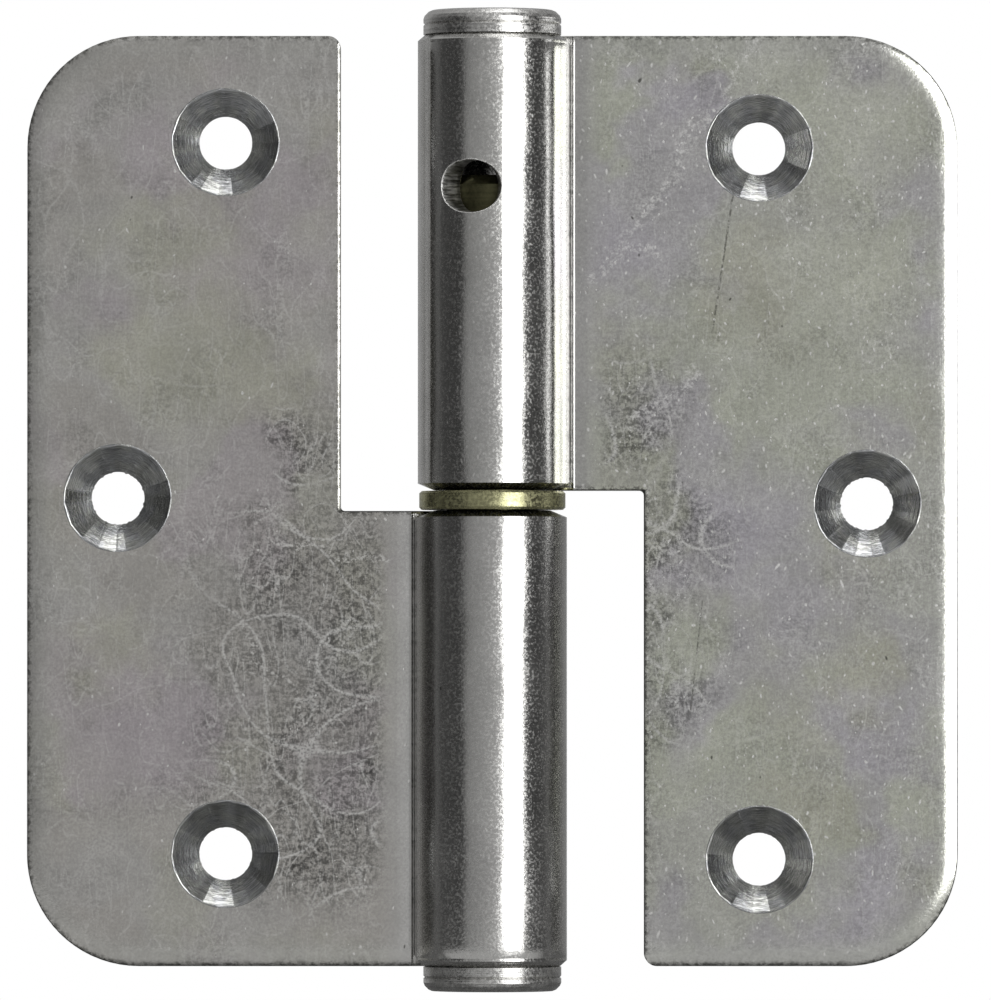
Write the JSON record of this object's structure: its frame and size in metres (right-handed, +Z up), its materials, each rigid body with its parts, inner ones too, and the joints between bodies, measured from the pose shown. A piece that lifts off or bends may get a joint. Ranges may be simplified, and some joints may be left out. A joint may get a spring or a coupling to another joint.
{
  "type": "lift-off butt hinge",
  "caption": "Lift-off butt hinge lying open: rounded leaves with countersunk screw holes, curled knuckles, a spacer ring and a fixed pin that the upper leaf lifts off.",
  "frame": {"origin": "on the pin axis, halfway up the hinge", "axes": "+Z up along the pin, +X towards the lift-off leaf as it lies open, -Y out of the countersunk faces towards the viewer"},
  "size_m": [0.1, 0.016, 0.1052],
  "materials": {
    "leaf_zinc": "bright zinc plating, faintly iridescent, finely scratched",
    "pin_steel": "yellowish plated steel, lightly greased",
    "ring_brass": "turned, dull yellow",
    "plug_zinc": "turned, bright zinc plating"
  },
  "bodies": {
    "fixed_leaf": {"lower_leaf": "leaf_zinc", "hinge_pin": "pin_steel", "bottom_plug": "plug_zinc"},
    "ring": {"spacer_ring": "ring_brass"},
    "swinging_leaf": {"upper_leaf": "leaf_zinc", "top_plug": "plug_zinc"}
  },
  "joints": [
    {"name": "swing", "type": "hinge", "parent": "fixed_leaf", "child": "ring", "pos_m": [0, 0, 0], "axis": [0, 0, 1], "range_deg": [-180, 140]},
    {"name": "lift_off", "type": "slide", "parent": "ring", "child": "swinging_leaf", "axis": [0, 0, 1], "range_m": [0, 0.04]}
  ]
}
